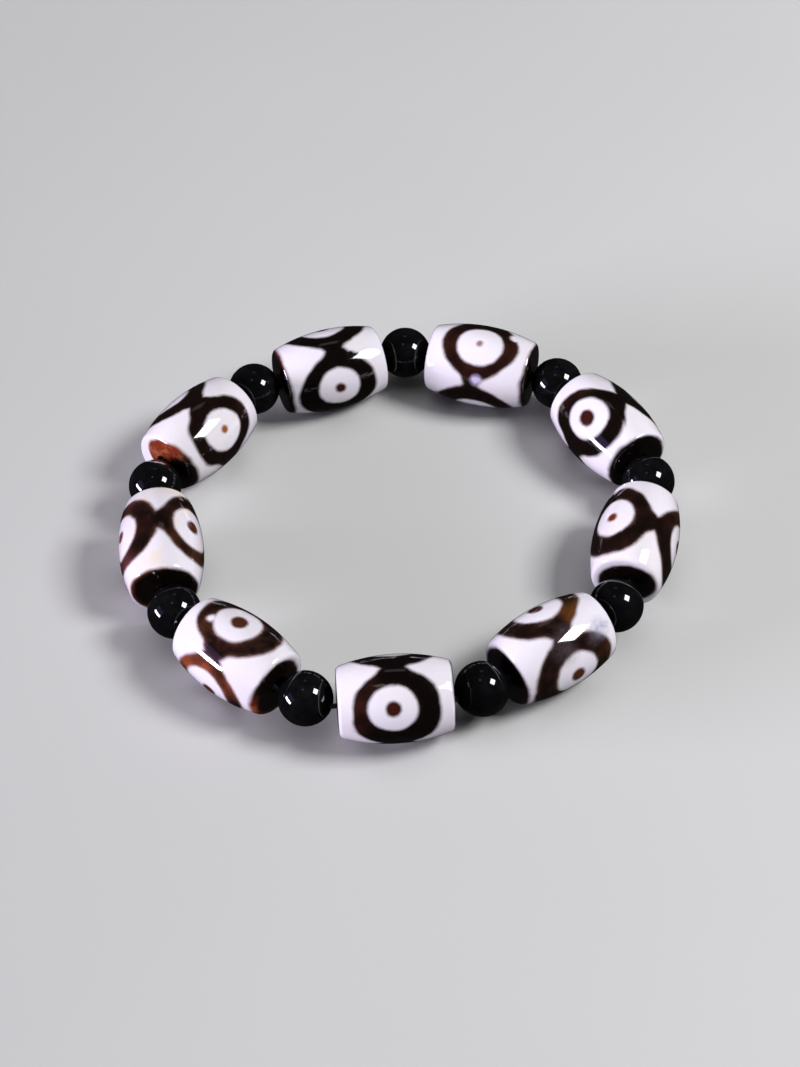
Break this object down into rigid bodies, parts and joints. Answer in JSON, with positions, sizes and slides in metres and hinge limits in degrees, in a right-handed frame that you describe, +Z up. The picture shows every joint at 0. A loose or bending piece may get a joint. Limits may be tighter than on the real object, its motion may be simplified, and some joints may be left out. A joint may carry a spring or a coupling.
{
  "type": "dzi bead bracelet",
  "caption": "Stretch bracelet of barrel-shaped eyed agate beads alternating with small glossy black round beads on a hidden elastic cord.",
  "frame": {"origin": "on the surface that the bracelet lies on, under the middle of its outer box", "axes": "+Z up out of the surface, through the wrist opening; -Y towards the viewer of the front; +X to the viewer's right"},
  "size_m": [0.0926, 0.0888, 0.014],
  "materials": {
    "dzi_agate": "polished, glossy",
    "black_onyx": "polished, glossy",
    "elastic": "satin"
  },
  "bodies": {
    "root": {"dzi_bead_1": "dzi_agate", "dzi_bead_2": "dzi_agate", "dzi_bead_3": "dzi_agate", "dzi_bead_4": "dzi_agate", "dzi_bead_5": "dzi_agate", "dzi_bead_6": "dzi_agate", "dzi_bead_7": "dzi_agate", "dzi_bead_8": "dzi_agate", "dzi_bead_9": "dzi_agate", "round_bead_1": "black_onyx", "round_bead_2": "black_onyx", "round_bead_3": "black_onyx", "round_bead_4": "black_onyx", "round_bead_5": "black_onyx", "round_bead_6": "black_onyx", "round_bead_7": "black_onyx", "round_bead_8": "black_onyx", "round_bead_9": "black_onyx", "elastic_cord": "elastic"}
  },
  "joints": []
}
